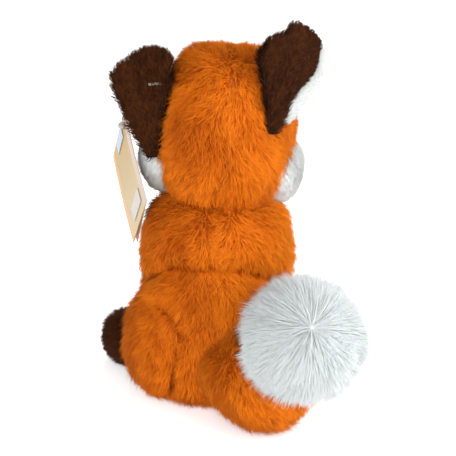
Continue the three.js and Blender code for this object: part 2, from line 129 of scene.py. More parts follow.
class Ball:
    """An ellipsoid."""

    def __init__(self, middle, size, back=1e3):
        self.middle, self.size, self.back = np.asarray(middle, float), np.asarray(size, float), back

    def mesh(self, grow, sides, rings):
        angle = np.linspace(0, np.pi, rings + 1)
        p, faces = lathe(np.sin(angle), -np.cos(angle), sides)
        p = p * (self.size / 2 + grow) + self.middle
        p[:, 1] = np.minimum(p[:, 1], self.back)
        return p, faces

    def inside(self, p, grow):
        q = (p - self.middle) / (self.size / 2 + grow)
        return ((q ** 2).sum(1) < 1) & (p[:, 1] < self.back)


class Torso:
    """Round sections from the seat to the neck, with the rump set back."""

    def __init__(self):
        pts = np.array(OUTLINE, float)
        d = np.r_[0, np.cumsum(np.hypot(*np.diff(pts, axis=0).T))]
        t = np.linspace(0, d[-1], 600)
        line = np.column_stack([np.interp(t, d, pts[:, k]) for k in (0, 1)])
        kernel = np.exp(-np.linspace(-2.2, 2.2, 45) ** 2)
        kernel /= kernel.sum()
        wide = np.r_[-line[22:0:-1, 0], line[:, 0], -line[-2:-24:-1, 0]]
        tall = np.r_[-line[22:0:-1, 1], line[:, 1], 2 - line[-2:-24:-1, 1]]
        self.r = np.convolve(wide, kernel, "valid")
        self.z = np.convolve(tall, kernel, "valid")
        self.r[[0, -1]] = 0
        self.z[[0, -1]] = (0, 1)

    def shift(self, z):
        low = np.clip(1 - z / (TORSO["shift_share"] * TORSO["height"]), 0, 1)
        return TORSO["shift"] * low * low * (3 - 2 * low)

    def mesh(self, grow, sides, rings):
        at = np.linspace(0, len(self.r) - 1, rings + 1)
        out = np.interp(at, np.arange(len(self.r)), self.r) * (TORSO["width"] / 2 + grow)
        height = TORSO["height"] + TORSO["cut"] + 2 * grow
        z = np.interp(at, np.arange(len(self.z)), self.z) * height - TORSO["cut"] - grow
        p, faces = lathe(out, z, sides)
        p[:, 1] *= (TORSO["depth"] / 2 + grow) / (TORSO["width"] / 2 + grow)
        p[:, 1] += self.shift(p[:, 2])
        return p, faces

    def inside(self, p, grow):
        height = TORSO["height"] + TORSO["cut"] + 2 * grow
        up = (p[:, 2] + TORSO["cut"] + grow) / height
        ok = (up > 0) & (up < 1)
        order = np.argsort(self.z)
        out = np.interp(np.clip(up, 0, 1), self.z[order], self.r[order])
        d = np.hypot(p[:, 0] / (TORSO["width"] / 2 + grow),
                     (p[:, 1] - self.shift(p[:, 2])) / (TORSO["depth"] / 2 + grow))
        return ok & (d < out)


def lathe(out, z, sides):
    """Points and faces of a closed turned shape; out is 0 at both ends."""
    turn = np.linspace(0, 2 * np.pi, sides, endpoint=False)
    mid = range(1, len(out) - 1)
    rows = [np.column_stack((out[i] * np.cos(turn), out[i] * np.sin(turn), np.full(sides, z[i])))
            for i in mid]
    p = np.vstack([[[0, 0, z[0]]], *rows, [[0, 0, z[-1]]]])
    last = len(p) - 1
    near = np.arange(sides)
    after = (near + 1) % sides
    faces = [(0, 1 + b, 1 + a) for a, b in zip(near, after)]
    for k in range(len(rows) - 1):
        a0, b0 = 1 + k * sides, 1 + (k + 1) * sides
        faces += [(a0 + a, a0 + b, b0 + b, b0 + a) for a, b in zip(near, after)]
    top = 1 + (len(rows) - 1) * sides
    faces += [(top + a, top + b, last) for a, b in zip(near, after)]
    return p, faces


# Shapes
def limb(shares, lean, side, sign, height=None, **sizes):
    """A shape on the torso, whose root is as high as a share of its own depth or of a given height."""
    root = at_torso(flip(shares, sign), height or sizes["depth"])
    return Egg(root, flip(lean, sign), flip(side, sign), **sizes)


def haunch(sign):
    return limb((0.28, 1.06, 0.54), (0.38, -0.9, -0.22), (0.86, 0.5, 0.45), sign,
                width=60, depth=80, length=77, fullness=0.8, taper=-0.22)


def foot(sign):
    return limb((0.9, -0.05, 0.485), (0.68, -0.73, 0.02), (0.73, 0.68, 0), sign,
                width=34, depth=36, length=42.5, fullness=0.72, taper=0.1)


def arm(sign):
    return limb((0.64, -0.2, 0.84), (0.11, -0.5, -0.86), (1, 0, 0), sign, TORSO["height"],
                width=24, depth=28, length=71, fullness=0.66, taper=0.1)


TAIL_LEAN = (-0.68, 0.73, -0.046)
tail = limb((-0.02, 0.84, 0.56), TAIL_LEAN, (0.87, 0.5, 0), 1,
            width=58, depth=54, length=67, fullness=0.72, taper=0.1)
BALL = 68
ball_middle = tail.root + unit(TAIL_LEAN) * tail.length + BALL * np.array((-0.04, -0.05, 0.53))
ball = Ball(ball_middle, (BALL, BALL, BALL))
torso = Torso()
belly_size = (BELLY["width"], TORSO["depth"] * BELLY["depth_share"], TORSO["height"] * BELLY["height_share"])
belly = Ball(at_torso((0, -0.75, 0.35), TORSO["height"]), belly_size, BELLY["back"])
head = Egg(in_head((0, 0, -HALF[2])), HEAD_TURN @ (0, 0, 1), (1, 0, 0), *HEAD_SIZE, 0.56, -0.03)


def puff(shares, lean, sign, **sizes):
    """A shape on the head: a cheek or the muzzle."""
    root = in_head(np.array(flip(shares, sign)) * HALF)
    return Egg(root, HEAD_TURN @ flip(lean, sign), (0, 0, 1), **sizes)


def cheek(sign):
    return puff((0.2, -0.28, -0.41), (0.98, 0.21, -0.06), sign,
                width=47, depth=46, length=43, fullness=0.75, taper=0)


MUZZLE_SHARES = (0, -0.56, -0.15)
MUZZLE_LEAN = (0, -0.99, -0.13)
muzzle = puff(MUZZLE_SHARES, MUZZLE_LEAN, 1,
              width=30, depth=40, length=37.5, fullness=0.86, taper=-0.42)
EAR = dict(width=34, depth=8, length=64, fullness=0.72, taper=0.95, cup=4)
LINING = dict(share=0.84, depth=6, rise_share=0.08, step=3.4)
# Root shares, lean, the way across, and how far the lining is set out to the side
EARS = {
    "left": ((1.02, 0.37, -0.273), (0.1, -0.19, 1), (0.92, -0.38, 0), 0),
    "right": ((-0.63, 0.82, 0.1), (-0.16, -0.16, 1), (0.88, 0.47, 0), 8),
}


def ear(side):
    shares, lean, across, _ = EARS[side]
    return Egg(HEAD_MIDDLE + np.array(shares) * HALF, lean, across, **EAR)


def ear_lining(side):
    """A smaller shape in front of the ear's back."""
    _, lean, across, out = EARS[side]
    rise = unit(lean) * EAR["length"] * LINING["rise_share"]
    root = ears[side].root + rise + (0, -LINING["step"], 0) - unit(across) * out
    width, length = EAR["width"] * LINING["share"], EAR["length"] * LINING["share"]
    return Egg(root, lean, across, **{**EAR, "width": width, "length": length, "depth": LINING["depth"]})


SIDES = {"left": 1, "right": -1}
haunches = {s: haunch(k) for s, k in SIDES.items()}
feet = {s: foot(k) for s, k in SIDES.items()}
arms = {s: arm(k) for s, k in SIDES.items()}
cheeks = {s: cheek(k) for s, k in SIDES.items()}
ears = {s: ear(s) for s in SIDES}
linings = {s: ear_lining(s) for s in SIDES}

# How far the cloth lies under the shape that the tips of its pile fill
DROP = dict(torso=4.0, head=4.0, limb=4.0, foot=3.0, arm=3.2, ball=7.0, puff=2.0, ear=0.9)
WALL = 1.6
# Between a cloth and its filling, and how much further than the cloth's inside a filling is let down
FIBRE_GAP = 0.4
FIBRE_DROP = 1.2
# How deep the pile may reach into the shape of a neighbour, whose own cloth lies about as deep
REACH = dict(limb=4.2, arm=3.4, ball=7.5, puff=2.2, ear=0.6)
# Lengths of the strands
LENGTH = dict(torso=9.5, belly=5.5, head=9.0, puff=4.2, ear=6.2, lining=2.6, haunch=9.0, foot=6.5,
              arm=7.0, tail=9.5, ball=15.5)
SETTLED = 26
# How far the roots of the pile stay off a back seam
OFF_SEAM = 0.25


def settle(p, drop):
    """Lets a shape down on its seat, with the stuffing pressed flat up to a height."""
    q = p.copy()
    near = np.clip(1 - q[:, 2] / SETTLED, 0, 1)
    q[:, 2] = np.maximum(q[:, 2] - (drop - SEAT) * near, SEAT)
    return q


def bump(d, width):
    return np.exp(-(d / width) ** 2)


def smooth(x, low, high):
    t = np.clip((x - low) / (high - low), 0, 1)
    return t * t * (3 - 2 * t)


def lumps(p, size, seed):
    """A smooth uneven field, about -1 to 1."""
    turn = np.random.default_rng(seed)
    total = np.zeros(len(p))
    for k in range(5):
        way = unit(turn.normal(size=3)) * (2 * np.pi / size) * (0.7 + 0.18 * k)
        total += np.sin(p @ way + turn.uniform(0, 6.3))
    return total / 3


def normals_of(p, faces):
    """Normals of the points, from the faces' areas."""
    tri = np.array([(f[0], f[i], f[i + 1]) for f in faces for i in range(1, len(f) - 1)])
    n = np.cross(p[tri[:, 1]] - p[tri[:, 0]], p[tri[:, 2]] - p[tri[:, 0]])
    total = np.zeros_like(p)
    for k in range(3):
        np.add.at(total, tri[:, k], n)
    return unit(total), tri


def crease_height(x):
    """Height of the crease round the back of the waist, lower on the sides."""
    x = np.clip(np.abs(x) / 44, 0, 1.15) * np.sign(x)
    return 88 - np.where(x > 0, 23 * x ** 4, 24 * x ** 2)


def torso_relief(p):
    d = (-1.1 * bump(p[:, 0], 4.5) - 0.6 * bump(p[:, 0], 1.6)) * smooth(p[:, 1], -10, 5)
    z = p[:, 2] - crease_height(p[:, 0])
    back = smooth(p[:, 1], -6, 16)
    deep = 4 + 2 * smooth(np.abs(p[:, 0]), 8, 28)
    d += back * (-deep * bump(z, 5.5) + 2.8 * bump(z + 13, 8) + 2 * bump(z - 13, 9))
    edge = (((p - belly.middle) / (belly.size / 2)) ** 2).sum(1)
    d += -1.4 * bump((edge - 1) * 24, 1.8) * smooth(-p[:, 1], -12, -4)
    return d + 0.5 * lumps(p, 38, 1)


def head_relief(p):
    q = (p - HEAD_MIDDLE) @ HEAD_TURN
    crown = smooth(q[:, 2], 22, 44) * smooth(np.abs(q[:, 0]), 12, 30)
    return -1.0 * bump(q[:, 0], 4) - 0.6 * bump(q[:, 0], 1.5) + 2.2 * crown + 0.5 * lumps(p, 34, 2)


def limb_relief(shape, seed):
    def relief(p):
        q = shape.local(p)
        return -1.1 * bump(q[:, 0], 1.5) * smooth(q[:, 1], -1, 1) + 0.5 * lumps(p, 30, seed)
    return relief


def shaped(shape, grow, relief=None, drop=None, sides=96, rings=64):
    """Points and faces of a shape, with its relief, on its seat."""
    p, faces = shape.mesh(grow, sides, rings)
    if relief is not None:
        n, _ = normals_of(p, faces)
        p = p + n * relief(p)[:, None]
    if drop is not None:
        p = settle(p, drop)
    return p, faces


# Meshes and materials
def linked(name, data, material):
    o = bpy.data.objects.new(name, data)
    bpy.context.scene.collection.objects.link(o)
    if material:
        data.materials.clear()
        data.materials.append(material)
    return o


def mesh_of(name, p, faces):
    data = bpy.data.meshes.new(name)
    data.from_pydata((np.asarray(p) * MM).tolist(), [], [tuple(int(i) for i in f) for f in faces])
    data.validate()
    data.update()
    return data


def carve(name, base, ops, material=None, smooth_faces=True):
    """The base less or within other closed shapes: ops are (operation, points, faces)."""
    o = linked(name, mesh_of(name, *base), material)
    tools = []
    for k, (operation, p, faces) in enumerate(ops):
        tool = linked(f"{name}_tool{k}", mesh_of(f"{name}_tool{k}", p, faces), None)
        m = o.modifiers.new(f"cut{k}", "BOOLEAN")
        m.operation, m.solver, m.object = operation, "MANIFOLD", tool
        tools.append(tool)
    bpy.context.view_layer.update()
    got = bpy.data.meshes.new_from_object(o.evaluated_get(bpy.context.evaluated_depsgraph_get()))
    o.modifiers.clear()
    old, o.data = o.data, got
    got.name = name
    bpy.data.meshes.remove(old)
    for tool in tools:
        spare = tool.data
        bpy.data.objects.remove(tool)
        bpy.data.meshes.remove(spare)
    if material:
        got.materials.clear()
        got.materials.append(material)
    if smooth_faces:
        got.shade_smooth()
    return o


def block(low, high, turn=None, at=(0, 0, 0)):
    (a, b, c), (d, e, f) = low, high
    p = np.array([(x, y, z) for z in (c, f) for y in (b, e) for x in (a, d)], float)
    if turn is not None:
        p = p @ np.asarray(turn).T + np.asarray(at)
    return p, [(0, 2, 3, 1), (4, 5, 7, 6), (0, 1, 5, 4), (2, 6, 7, 3), (0, 4, 6, 2), (1, 3, 7, 5)]


def joint_of(name):
    return next(j for j in frame["joints"] if j["name"] == name)


def turned(p, joint, degrees):
    """Points turned about a joint of the record."""
    j = joint_of(joint)
    pivot = np.array(j["pos_m"]) / MM
    turn = np.array(Matrix.Rotation(math.radians(degrees), 3, Vector(j["axis"])))
    return (p - pivot) @ turn.T + pivot


def tree(material):
    return material.node_tree.nodes, material.node_tree.links


def base_material(name, roughness, **sockets):
    m = bpy.data.materials.new(name)
    m.use_nodes = True
    shader = m.node_tree.nodes["Principled BSDF"]
    shader.inputs["Roughness"].default_value = roughness
    for socket, value in sockets.items():
        shader.inputs[socket.replace("_", " ")].default_value = value
    return m, shader


def ramp(nodes, stops):
    r = nodes.new("ShaderNodeValToRGB")
    e = r.color_ramp.elements
    while len(e) < len(stops):
        e.new(0.5)
    for k, (at, colour) in enumerate(stops):
        e[k].position = at
        e[k].color = (*colour, 1)
    return r


def pile_material(name, along, across, roughness=0.7):
    """Strands: a ramp from root to tip, darkened at the roots as painted shade, times one across the
    strands' tints, which carry painted light as well as random differences.
    """
    m, shader = base_material(name, roughness, Specular_IOR_Level=0.08)
    nodes, links = tree(m)
    uv = nodes.new("ShaderNodeUVMap")
    uv.uv_map = "OFBake"
    split = nodes.new("ShaderNodeSeparateXYZ")
    links.new(uv.outputs["UV"], split.inputs["Vector"])
    a, b = ramp(nodes, along), ramp(nodes, across)
    links.new(split.outputs["Y"], a.inputs["Fac"])
    links.new(split.outputs["X"], b.inputs["Fac"])
    mix = nodes.new("ShaderNodeMix")
    mix.data_type, mix.blend_type = "RGBA", "MULTIPLY"
    mix.inputs["Factor"].default_value = 1
    links.new(a.outputs["Color"], mix.inputs["A"])
    links.new(b.outputs["Color"], mix.inputs["B"])
    links.new(mix.outputs["Result"], shader.inputs["Base Color"])
    return m


def cloth_material(name, dark, light, scale=900.0, roughness=0.95):
    """Knitted backing under the pile: a fine ribbed weave with uneven dye."""
    m, shader = base_material(name, roughness, Specular_IOR_Level=0.1)
    nodes, links = tree(m)
    where = nodes.new("ShaderNodeTexCoord")
    weave = nodes.new("ShaderNodeTexNoise")
    weave.inputs["Scale"].default_value = scale
    weave.inputs["Detail"].default_value = 3
    links.new(where.outputs["Object"], weave.inputs["Vector"])
    tint = ramp(nodes, [(0.3, dark), (0.7, light)])
    links.new(weave.outputs["Fac"], tint.inputs["Fac"])
    links.new(tint.outputs["Color"], shader.inputs["Base Color"])
    rise = nodes.new("ShaderNodeBump")
    rise.inputs["Strength"].default_value = 0.5
    rise.inputs["Distance"].default_value = 0.0004
    links.new(weave.outputs["Fac"], rise.inputs["Height"])
    links.new(rise.outputs["Normal"], shader.inputs["Normal"])
    return m


# Each ramp from root to tip holds the strands' own colour, darkened towards the roots as painted shade deep
# in the pile.
ORANGE_PILE = pile_material(
    "orange_strands",
    [(0, (0.44, 0.065, 0.002)), (0.45, (0.84, 0.185, 0.005)), (1, (1.0, 0.285, 0.016))],
    [(0, (0.52, 0.36, 0.22)), (0.5, (0.86, 0.80, 0.70)), (1, (1, 1, 1))])
BROWN_PILE = pile_material(
    "brown_strands",
    [(0, (0.014, 0.0035, 0.0008)), (0.5, (0.044, 0.0112, 0.002)), (1, (0.14, 0.041, 0.008))],
    [(0, (0.45, 0.42, 0.40)), (1, (1, 1, 1))])
WHITE_PILE = pile_material(
    "white_strands",
    [(0, (0.62, 0.635, 0.625)), (0.4, (0.74, 0.755, 0.74)), (1, (0.80, 0.815, 0.80))],
    [(0, (0.88, 0.89, 0.88)), (1, (1, 1, 1))])
BALL_PILE = pile_material(
    "ball_strands",
    [(0, (0.59, 0.625, 0.625)), (0.4, (0.62, 0.655, 0.655)), (1, (0.65, 0.685, 0.685))],
    [(0, (0.95, 0.96, 0.96)), (1, (1, 1, 1))])
# Each backing is about as dark as its pile's roots: painted shade in the valleys between the strands.
CLOTHS = {
    "orange": cloth_material("orange_backing", (0.40, 0.075, 0.003), (0.52, 0.11, 0.005)),
    "brown": cloth_material("brown_backing", (0.018, 0.006, 0.002), (0.035, 0.012, 0.004)),
    "white": cloth_material("white_backing", (0.53, 0.54, 0.53), (0.62, 0.63, 0.62)),
}
PILES = {"orange": ORANGE_PILE, "brown": BROWN_PILE, "white": WHITE_PILE, "ball": BALL_PILE}
FIBRE = cloth_material("fibre_fill", (0.80, 0.79, 0.74), (0.92, 0.91, 0.87), scale=260.0, roughness=1.0)


# Pile
def scatter(p, faces, per_mm2):
    """Random points over faces: places, normals and the area that they share."""
    n, tri = normals_of(p, faces)
    a, b, c = (p[tri[:, k]] for k in range(3))
    area = np.linalg.norm(np.cross(b - a, c - a), axis=1) / 2
    count = int(area.sum() * per_mm2 * SHARE)
    pick = rng.choice(len(tri), count, p=area / area.sum())
    u, v = rng.random(count), rng.random(count)
    over = u + v > 1
    u[over], v[over] = 1 - u[over], 1 - v[over]
    w = np.column_stack((1 - u - v, u, v))
    at = sum(w[:, k, None] * p[tri[pick, k]] for k in range(3))
    up = unit(sum(w[:, k, None] * n[tri[pick, k]] for k in range(3)))
    return at, up, area.sum()


def tangent(v, n):
    return unit(v - (v * n).sum(1, keepdims=True) * n)


def turn_about(v, n, angle):
    """v turned about n, both rows."""
    c, s = np.cos(angle)[:, None], np.sin(angle)[:, None]
    return v * c + np.cross(n, v) * s + n * (n * v).sum(1, keepdims=True) * (1 - c)


def strands(at, up, area, flow, length, thick, clump=1.2, rise=(0.8, 0.5), gather=0.14, wild=0.3,
            turn=0.6, seed=11, blocked=(), curved=True, boost=None, tone=None, curl=0.3):
    """Strands from roots on a surface, in clumps of a radius, combed along a flow that wanders."""
    n = len(at)
    groups = max(1, int(area / (math.pi * clump ** 2)))
    heads = rng.choice(n, min(groups, n), replace=False)
    finder = kdtree.KDTree(len(heads))
    for k, i in enumerate(heads):
        finder.insert(at[i], k)
    finder.balance()
    mine = np.array([finder.find(q)[1] for q in at])
    lead = at[heads]
    swirl = rng.normal(0, wild, len(heads))
    long = rng.uniform(0.86, 1.14, len(heads))
    shades = rng.normal(0, 1, len(heads))
    comb = tangent(flow(at, up), up)
    wander = turn * (0.9 * lumps(at, 26, seed) + 0.6 * lumps(at, 11, seed + 1))
    comb = turn_about(comb, up, wander + swirl[mine] + rng.normal(0, wild * 0.9, n))
    tuft = lumps(at, 13, seed + 2)
    size = length * long[mine] * rng.uniform(0.84, 1.1, n) * (1 + 0.12 * tuft)
    lift = 0.1 * lumps(at, 17, seed + 3) + rng.normal(0, 0.09, n)
    if boost is not None:
        more = boost(at)
        size, lift = size * (1 + more), lift + 0.4 * np.maximum(more, 0)
    first = np.clip(rise[0] + lift, 0.05, 0.97)[:, None]
    second = np.clip(rise[1] + lift, 0.02, 0.97)[:, None]
    middle = at + unit(comb * np.sqrt(1 - first ** 2) + up * first) * size[:, None] * 0.5
    tip = middle + unit(comb * np.sqrt(1 - second ** 2) + up * second) * size[:, None] * 0.5
    # The strands of a clump lean together
    apart = at - lead[mine]
    middle -= apart * gather * 0.45
    tip -= apart * gather
    # Next to another piece the pile is pressed flat or left out
    keep = np.ones(n, bool)
    for shape, grow in blocked:
        keep &= ~shape.inside(at, grow)
    for share in (0.6, 0.35):
        hit = np.zeros(n, bool)
        for shape, grow in blocked:
            hit |= shape.inside(tip, grow) | shape.inside(middle, grow)
        hit &= keep
        middle[hit] = at[hit] + (middle[hit] - at[hit]) * share
        tip[hit] = at[hit] + (tip[hit] - at[hit]) * share
    for shape, grow in blocked:
        keep &= ~shape.inside(tip, grow)
    keep &= at[:, 2] > SEAT + 0.8
    middle[:, 2] = np.maximum(middle[:, 2], 0.5)
    tip[:, 2] = np.maximum(tip[:, 2], 0.3)
    reach = np.percentile(np.linalg.norm(apart, axis=1), 90)
    shade = unit(up + curl * (0.73 * apart / max(reach, 0.1) + 0.5 * comb))
    # Each strand's tint: the painted light of its part, with random differences between clumps, tufts,
    # strands and broad patches.
    tint = (0.5 + (0 if tone is None else tone(at)) + 0.12 * shades[mine] + 0.1 * tuft
            + 0.08 * rng.normal(0, 1, n) + 0.2 * lumps(at, 44, 5))
    return dict(root=at - up * 0.4, middle=middle if curved else None, tip=tip, up=up, shade=shade,
                tint=np.clip(tint, 0.02, 0.98), width=thick * rng.uniform(0.8, 1.2, n), keep=keep, curl=curl)


def corners_of(s, mask):
    """Points, normals, corners, face sizes, tints and levels of one coat's three-sided strands."""
    pick = np.flatnonzero(mask & s["keep"])
    n = len(pick)
    root, tip, up, shade = (s[k][pick] for k in ("root", "tip", "up", "shade"))
    width, tint = s["width"][pick][:, None], s["tint"][pick]
    along = unit(tip - root)
    e1 = unit(np.cross(along, up + 1e-4))
    e2 = np.cross(along, e1)
    rows = [(root, 0.5)] + ([(s["middle"][pick], 0.42)] if s["middle"] is not None else [])
    size = 3 * len(rows) + 1
    points, normals = np.empty((n, size, 3)), np.empty((n, size, 3))
    for k in range(3):
        angle = 2 * math.pi * k / 3 + math.pi / 2
        way = math.cos(angle) * e1 + math.sin(angle) * e2
        for j, (middle, share) in enumerate(rows):
            points[:, 3 * j + k] = middle + way * width * share
            normals[:, 3 * j + k] = unit(shade + s["curl"] * way)
    points[:, -1], normals[:, -1] = tip, shade
    faces = [(0, 2, 1)]
    if len(rows) > 1:
        faces += [(0, 1, 4, 3), (1, 2, 5, 4), (2, 0, 3, 5)]
    low = size - 4
    faces += [(low, low + 1, size - 1), (low + 1, low + 2, size - 1), (low + 2, low, size - 1)]
    flat = np.array([i for f in faces for i in f])
    level = np.concatenate((np.full(3, 0.02), np.full(size - 4, 0.5), (0.98,)))[flat]
    return (points.reshape(-1, 3), normals.reshape(-1, 3),
            (np.arange(n) * size)[:, None] + flat, [len(f) for f in faces] * n,
            np.repeat(tint, len(flat)), np.tile(level, n))


def strand_mesh(name, coats, material):
    """One mesh of every strand in the coats, which are (strands, mask)."""
    got = [corners_of(*coat) for coat in coats]
    shift = np.cumsum([0] + [len(g[0]) for g in got])
    points, normals = (np.concatenate([g[k] for g in got]) for k in (0, 1))
    corners = np.concatenate([g[2].ravel() + d for g, d in zip(got, shift)])
    sizes = np.concatenate([g[3] for g in got]).astype(np.int32)
    data = bpy.data.meshes.new(name)
    data.vertices.add(len(points))
    data.vertices.foreach_set("co", (points * MM).astype(np.float32).ravel())
    data.loops.add(len(corners))
    data.loops.foreach_set("vertex_index", corners.astype(np.int32))
    data.polygons.add(len(sizes))
    data.polygons.foreach_set("loop_start", np.r_[0, np.cumsum(sizes)[:-1]].astype(np.int32))
    data.update()
    uv = np.column_stack([np.concatenate([g[k] for g in got]) for k in (4, 5)])
    data.uv_layers.new(name="OFBake").data.foreach_set("uv", uv.astype(np.float32).ravel())
    data.shade_smooth()
    data.normals_split_custom_set_from_vertices(unit(normals).tolist())
    data.materials.append(material)
    return linked(name, data, None)


def coats(base, flow, length, blocked, top=0.95, under=2.0, thick=0.43, seed=11, **how):
    """A curved top coat and a shorter, denser straight one on a surface: (strands, roots) for each."""
    got = []
    for per, size, curved in ((top, length, True), (under, length * 0.8, False)):
        at, up, area = scatter(*base, per)
        coat = strands(at, up, area, flow, size, thick, blocked=blocked, curved=curved, seed=seed, **how)
        got.append((coat, at))
    return got


pieces = {}


def skin(node, colour, base, ops, body):
    """A cloth piece in place of its CAD node."""
    o = carve(f"{node}_cloth", base, ops, CLOTHS[colour])
    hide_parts(node)
    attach(o, body)
    pieces[node] = o
    return o


def pile(node, colour, *coats, part="pile"):
    """The pile on a cloth piece, from coats of strands and masks of those that grow on it."""
    o = strand_mesh(f"{node}_{part}", coats, PILES[colour])
    o.parent = pieces[node]
    return o


def filled(node, base, ops, body):
    """The filling in place of its CAD node."""
    o = carve(f"{node}_wool", base, ops, FIBRE)
    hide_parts(node)
    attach(o, body)
    return o


def less(p_faces):
    return ("DIFFERENCE", *p_faces)


def within(p_faces):
    return ("INTERSECT", *p_faces)


def plus(p_faces):
    return ("UNION", *p_faces)


# Past every piece
FAR = 400


def swept(shape, joint, grow=SWING, steps=4):
    """Tools that clear a neighbour through a joint's range, seen from the moving piece."""
    p, faces = shape.mesh(grow, 48, 32)
    return [less((turned(p, joint, -d), faces)) for d in np.linspace(*joint_of(joint)["range_deg"], steps)]


def swung(shape, joint, sense):
    """Tools that clear a neighbour at the ends and the middle of a joint's range."""
    p, faces = shape.mesh(SWING, 48, 32)
    low, high = joint_of(joint)["range_deg"]
    return [less((turned(p, joint, sense * d), faces)) for d in (low, (low + high) / 2, high)]


def half(sign, turn=None, at=(0, 0, 0)):
    """Everything to one side of the middle seam."""
    low, high = (SEAM / 2, FAR) if sign > 0 else (-FAR, -SEAM / 2)
    return within(block((low, -FAR, -FAR), (high, FAR, FAR), turn, at))


def whole(coated):
    """Coats with all their strands kept."""
    return [(s, np.ones(len(at), bool)) for s, at in coated]


# Torso
drop = DROP["torso"]
t_out = shaped(torso, -drop, torso_relief, drop, 160, 110)
t_in = shaped(torso, -drop - WALL, torso_relief, drop + WALL, 80, 56)
b_near = belly.mesh(0, 72, 48)
b_far = belly.mesh(SEAM, 72, 48)
skin("belly_gusset", "white", t_out, [less(t_in), within(b_near)], "torso")
for side, sign in SIDES.items():
    skin(f"torso_panel_{side}", "orange", t_out, [less(t_in), less(b_far), half(sign)], "torso")
wool = shaped(torso, -drop - WALL - FIBRE_GAP, lambda p: torso_relief(p) - 0.5,
              drop + WALL + FIBRE_DROP, 100, 70)
filled("torso_filling", wool, [], "torso")


def flow_torso(p, n):
    f = np.tile((0.0, 0.0, -1.0), (len(p), 1))
    f[:, 0] += 0.25 * np.sign(p[:, 0]) * smooth(-p[:, 2], -70, -20)
    under = n[:, 2] < -0.5
    f[under] = n[under] * (1, 1, 0) + (0.001, 0, 0)
    f[:, 0] -= 0.35 * smooth(-p[:, 2], -80, -30) * smooth(p[:, 1], 10, 40)
    return f


def torso_tone(p):
    """Painted light: the pile on the right half of the back is brighter, where the light from the right
    falls, and it darkens from the waist crease up to the neck.
    """
    return -0.15 + 0.5 * smooth(-p[:, 0], -16, 14) - 0.12 * smooth(p[:, 2], 88, 112)


# Painted light: the head's pile is lighter on top and on its right side, where the light falls.
def head_tone(p):
    return -0.16 + 0.2 * smooth(p[:, 2], 176, 206) + 0.16 * smooth(-p[:, 0], 12, 34)


LIMBS = [(shape, -REACH["limb"]) for shape in (haunches["left"], haunches["right"], tail)]
ARMS = [(arms[side], -REACH["arm"]) for side in SIDES]
around = [*LIMBS, (ball, -REACH["ball"]), *ARMS, (head, -REACH["limb"])]
coated = coats(t_out, flow_torso, LENGTH["torso"], around, tone=torso_tone)
for part, (s, at) in zip(("pile", "down"), coated):
    off_seam = (np.abs(at[:, 0]) > OFF_SEAM) | (at[:, 1] < -5)
    for side, sign in SIDES.items():
        grows = ~belly.inside(at, 0.6) & (at[:, 0] * sign > 0) & off_seam
        pile(f"torso_panel_{side}", "orange", (s, grows), part=part)
short = coats(t_out, flow_torso, LENGTH["belly"], around, top=1.0, under=1.2, rise=(0.9, 0.6))
pile("belly_gusset", "white", *[(s, belly.inside(at, -0.5)) for s, at in short])

# Head
drop = DROP["head"]
h_out = shaped(head, -drop, head_relief, None, 140, 96)
h_in = shaped(head, -drop - WALL, head_relief, None, 80, 56)
puffs = {"cheek_left": cheeks["left"], "cheek_right": cheeks["right"], "muzzle": muzzle}
rooms = [shape.mesh(-DROP["puff"] - WALL, 48, 32) for shape in puffs.values()]
neck = swept(torso, "neck_turn")
for side, sign in SIDES.items():
    skin(f"head_panel_{side}", "orange", h_out,
         [less(h_in), *[less(r) for r in rooms], *neck, half(sign, HEAD_TURN, HEAD_MIDDLE)], "head")
for node, shape in puffs.items():
    out = shaped(shape, -DROP["puff"], None, None, 80, 56)
    skin(node, "white", out, [less(shape.mesh(-DROP["puff"] - WALL, 48, 32)),
                              less(head.mesh(-drop + SEAM, 80, 56)), *neck], "head")
wool = head.mesh(-drop - WALL - FIBRE_GAP, 64, 44)
bulges = [plus(shape.mesh(-DROP["puff"] - WALL - FIBRE_GAP, 48, 32)) for shape in puffs.values()]
filled("head_filling", wool, [*bulges, *swept(torso, "neck_turn", SWING + FIBRE_GAP)], "head")


def flow_head(p, n):
    q = (p - HEAD_MIDDLE) @ HEAD_TURN
    down = np.tile((0.0, 0.0, -1.0), (len(p), 1))
    top = smooth(q[:, 2], 18, 46)[:, None]
    back = np.tile((0.0, 1.0, 0.0), (len(p), 1))
    f = down * (1 - top) + back * top * np.where(p[:, 1] > -20, 1, -1)[:, None]
    f[:, 0] += 0.35 * np.sign(q[:, 0]) * smooth(np.abs(q[:, 0]), 2, 18)
    return f


around = [(torso, -REACH["limb"]), *[(shape, -REACH["puff"]) for shape in puffs.values()],
          *[(shape, -REACH["ear"]) for shape in ears.values()]]
coated = coats(h_out, flow_head, LENGTH["head"], around, seed=21, tone=head_tone)
for part, (s, at) in zip(("pile", "down"), coated):
    q = (at - HEAD_MIDDLE) @ HEAD_TURN
    for side, sign in SIDES.items():
        pile(f"head_panel_{side}", "orange", (s, q[:, 0] * sign > OFF_SEAM), part=part)
for node, shape in puffs.items():
    def outward(p, n, shape=shape):
        return unit(p - shape.root) + np.array((0, 0.2, -0.6))
    base = shaped(shape, -DROP["puff"], None, None, 80, 56)
    pile(node, "white", *whole(coats(base, outward, LENGTH["puff"], [(torso, -REACH["limb"]), (head, -3.8)],
                                     top=1.4, under=1.6, thick=0.42, rise=(0.85, 0.5))))

